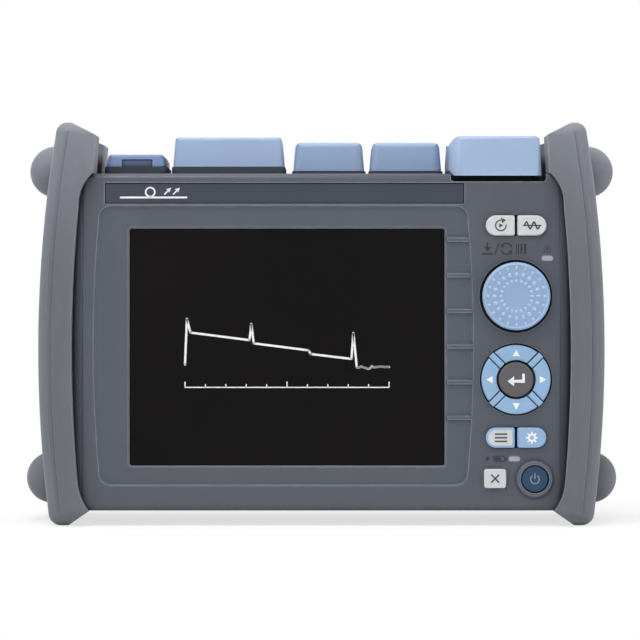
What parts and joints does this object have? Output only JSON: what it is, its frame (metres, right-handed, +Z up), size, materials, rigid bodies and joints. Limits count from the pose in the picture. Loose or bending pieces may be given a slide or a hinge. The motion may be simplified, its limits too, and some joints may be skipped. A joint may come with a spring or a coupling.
{
  "type": "optical time domain reflectometer",
  "caption": "Handheld optical fibre tester: flat case with a display, key column and rotary knob, rubber side guards, hinged port covers on top and a folding rear stand.",
  "frame": {"origin": "centre of the footprint, on the plane that the side guards stand on", "axes": "+X right as the user faces the display, +Y away from the user, +Z up"},
  "size_m": [0.2248, 0.069, 0.15],
  "materials": {
    "case_grey": "fine moulded texture",
    "guard_elastomer": "soft matte overmould",
    "cover_blue": "satin moulded",
    "base_grey": "fine moulded texture",
    "key_white": "satin moulded",
    "key_blue": "satin moulded",
    "key_dark": "satin moulded",
    "key_power": "satin moulded",
    "window_black": "gloss, black display behind it",
    "steel": "satin",
    "adapter_metal": "nickel plated",
    "sleeve_white": "polished ceramic",
    "socket_black": "plain",
    "socket_shell": "tin plated",
    "circuit_board": "solder mask",
    "module_aluminium": "as machined",
    "sheet_steel": "plated sheet",
    "battery_black": "plain",
    "lens_clear": "translucent",
    "nameplate_grey": "smooth",
    "gasket_black": "foam",
    "mat_grey": "silicone"
  },
  "bodies": {
    "case": {"front_case": "case_grey", "rear_case": "case_grey", "left_guard": "guard_elastomer", "right_guard": "guard_elastomer", "strap_pins": "steel", "nameplate": "nameplate_grey", "indicator_lenses": "lens_clear", "port_panel": "base_grey", "power_inlet_base": "base_grey", "data_port_base": "base_grey", "light_source_base": "base_grey", "power_meter_base": "base_grey", "main_port_base": "base_grey", "cover_hinge_pins": "steel", "main_port_adapter": "adapter_metal", "light_source_adapter": "adapter_metal", "power_meter_adapter": "adapter_metal", "ferrule_sleeves": "sleeve_white", "dc_jack": "socket_black", "usb_host_sockets": "socket_shell", "usb_device_socket": "socket_shell", "lan_socket": "socket_black", "pad_strips": "key_blue", "encoder_body": "socket_black", "key_board": "circuit_board", "keypad_mat": "mat_grey", "display_window": "window_black", "display_gasket": "gasket_black", "display_module": "sheet_steel", "chassis_plate": "sheet_steel", "main_board": "circuit_board", "otdr_module": "module_aluminium", "battery_pack": "battery_black", "battery_cover": "case_grey", "battery_cover_screws": "steel", "case_screws": "steel", "stand_pivots": "steel", "speaker": "socket_black"},
    "real_time_key": {"real_time_key": "key_white"},
    "average_key": {"average_key": "key_white"},
    "menu_key": {"menu_key": "key_blue"},
    "setup_key": {"setup_key": "key_blue"},
    "escape_key": {"escape_key": "key_white"},
    "power_key": {"power_key": "key_power"},
    "enter_key": {"enter_key": "key_dark"},
    "arrow_up_key": {"arrow_up_key": "key_blue"},
    "arrow_down_key": {"arrow_down_key": "key_blue"},
    "arrow_left_key": {"arrow_left_key": "key_blue"},
    "arrow_right_key": {"arrow_right_key": "key_blue"},
    "knob_plunger": {"push_plunger": "steel"},
    "knob": {"rotary_knob": "key_blue", "encoder_shaft": "steel"},
    "power_inlet_cover": {"power_inlet_cover": "cover_blue"},
    "data_port_cover": {"data_port_cover": "cover_blue"},
    "light_source_cover": {"light_source_cover": "cover_blue"},
    "power_meter_cover": {"power_meter_cover": "cover_blue"},
    "main_port_cover": {"main_port_cover": "cover_blue"},
    "stand": {"stand": "case_grey", "stand_pads": "gasket_black"}
  },
  "joints": [
    {"name": "real_time_key_press", "type": "slide", "parent": "case", "child": "real_time_key", "axis": [0, 1, 0], "range_m": [0, 0.0008], "stiffness_N_per_m": 1500},
    {"name": "average_key_press", "type": "slide", "parent": "case", "child": "average_key", "axis": [0, 1, 0], "range_m": [0, 0.0008], "stiffness_N_per_m": 1500},
    {"name": "menu_key_press", "type": "slide", "parent": "case", "child": "menu_key", "axis": [0, 1, 0], "range_m": [0, 0.0008], "stiffness_N_per_m": 1500},
    {"name": "setup_key_press", "type": "slide", "parent": "case", "child": "setup_key", "axis": [0, 1, 0], "range_m": [0, 0.0008], "stiffness_N_per_m": 1500},
    {"name": "escape_key_press", "type": "slide", "parent": "case", "child": "escape_key", "axis": [0, 1, 0], "range_m": [0, 0.0008], "stiffness_N_per_m": 1500},
    {"name": "power_key_press", "type": "slide", "parent": "case", "child": "power_key", "axis": [0, 1, 0], "range_m": [0, 0.0008], "stiffness_N_per_m": 1500},
    {"name": "enter_key_press", "type": "slide", "parent": "case", "child": "enter_key", "axis": [0, 1, 0], "range_m": [0, 0.0008], "stiffness_N_per_m": 1500},
    {"name": "arrow_up_key_press", "type": "slide", "parent": "case", "child": "arrow_up_key", "axis": [0, 1, 0], "range_m": [0, 0.0008], "stiffness_N_per_m": 1500},
    {"name": "arrow_down_key_press", "type": "slide", "parent": "case", "child": "arrow_down_key", "axis": [0, 1, 0], "range_m": [0, 0.0008], "stiffness_N_per_m": 1500},
    {"name": "arrow_left_key_press", "type": "slide", "parent": "case", "child": "arrow_left_key", "axis": [0, 1, 0], "range_m": [0, 0.0008], "stiffness_N_per_m": 1500},
    {"name": "arrow_right_key_press", "type": "slide", "parent": "case", "child": "arrow_right_key", "axis": [0, 1, 0], "range_m": [0, 0.0008], "stiffness_N_per_m": 1500},
    {"name": "knob_press", "type": "slide", "parent": "case", "child": "knob_plunger", "axis": [0, 1, 0], "range_m": [0, 0.0008], "stiffness_N_per_m": 1500},
    {"name": "knob_turn", "type": "hinge", "parent": "knob_plunger", "child": "knob", "pos_m": [0.0724, -0.03, 0.0853], "axis": [0, -1, 0], "continuous": true},
    {"name": "power_inlet_cover_hinge", "type": "hinge", "parent": "case", "child": "power_inlet_cover", "pos_m": [-0.07025, 0.021, 0.1352], "axis": [-1, 0, 0], "range_deg": [0, 110]},
    {"name": "data_port_cover_hinge", "type": "hinge", "parent": "case", "child": "data_port_cover", "pos_m": [-0.0352, 0.021, 0.1352], "axis": [-1, 0, 0], "range_deg": [0, 110]},
    {"name": "light_source_cover_hinge", "type": "hinge", "parent": "case", "child": "light_source_cover", "pos_m": [0.00275, 0.021, 0.1352], "axis": [-1, 0, 0], "range_deg": [0, 110]},
    {"name": "power_meter_cover_hinge", "type": "hinge", "parent": "case", "child": "power_meter_cover", "pos_m": [0.03185, 0.021, 0.1352], "axis": [-1, 0, 0], "range_deg": [0, 110]},
    {"name": "main_port_cover_hinge", "type": "hinge", "parent": "case", "child": "main_port_cover", "pos_m": [0.06595, 0.007, 0.1415], "axis": [-1, 0, 0], "range_deg": [0, 100]},
    {"name": "stand_hinge", "type": "hinge", "parent": "case", "child": "stand", "pos_m": [0, 0.027, 0.088], "axis": [1, 0, 0], "range_deg": [0, 45]}
  ]
}
